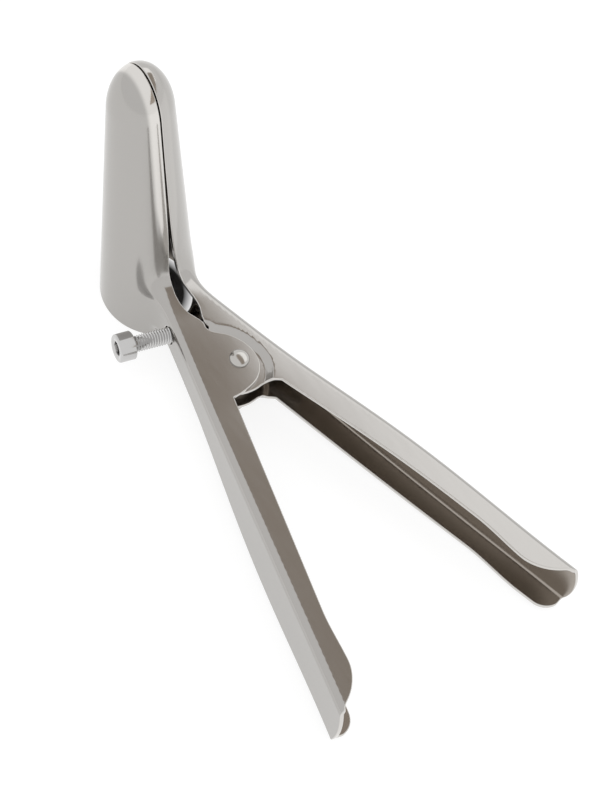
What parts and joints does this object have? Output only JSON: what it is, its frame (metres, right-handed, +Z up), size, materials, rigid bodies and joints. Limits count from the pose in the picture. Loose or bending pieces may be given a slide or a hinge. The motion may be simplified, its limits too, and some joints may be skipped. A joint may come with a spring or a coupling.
{
  "type": "bivalve speculum",
  "caption": "Small two-bladed speculum of pressed stainless sheet: closed half-round blades, channel squeeze handles on one riveted pivot, and a socket screw that limits the opening.",
  "frame": {"origin": "middle of the footprint at table level, on the plane of the blades' mouth", "axes": "+X toward the right half, +Y from the handle ends toward the blades, +Z up along the pivot axis"},
  "size_m": [0.0868, 0.1799, 0.0865],
  "materials": {
    "sheet_steel": "satin",
    "rivet_steel": "polished",
    "screw_chrome": "polished",
    "spring_steel": "drawn wire"
  },
  "bodies": {
    "left_half": {"left_valve": "sheet_steel", "pivot_rivet": "rivet_steel", "pivot_spacer": "rivet_steel", "torsion_spring": "spring_steel", "thread_boss": "rivet_steel"},
    "right_half": {"right_valve": "sheet_steel"},
    "screw": {"limit_screw": "screw_chrome"}
  },
  "joints": [
    {"name": "blades_open", "type": "hinge", "parent": "left_half", "child": "right_half", "pos_m": [0.0016, 0.01927, 0.0109], "axis": [0, 0, -1], "range_deg": [0, 28], "stiffness_Nm_per_rad": 0.8, "springref_deg": -20.05, "deforming": ["torsion_spring"]},
    {"name": "screw_travel", "type": "slide", "parent": "left_half", "child": "screw", "axis": [0.9655, -0.2606, 0], "range_m": [-0.008, 0.0034]}
  ]
}
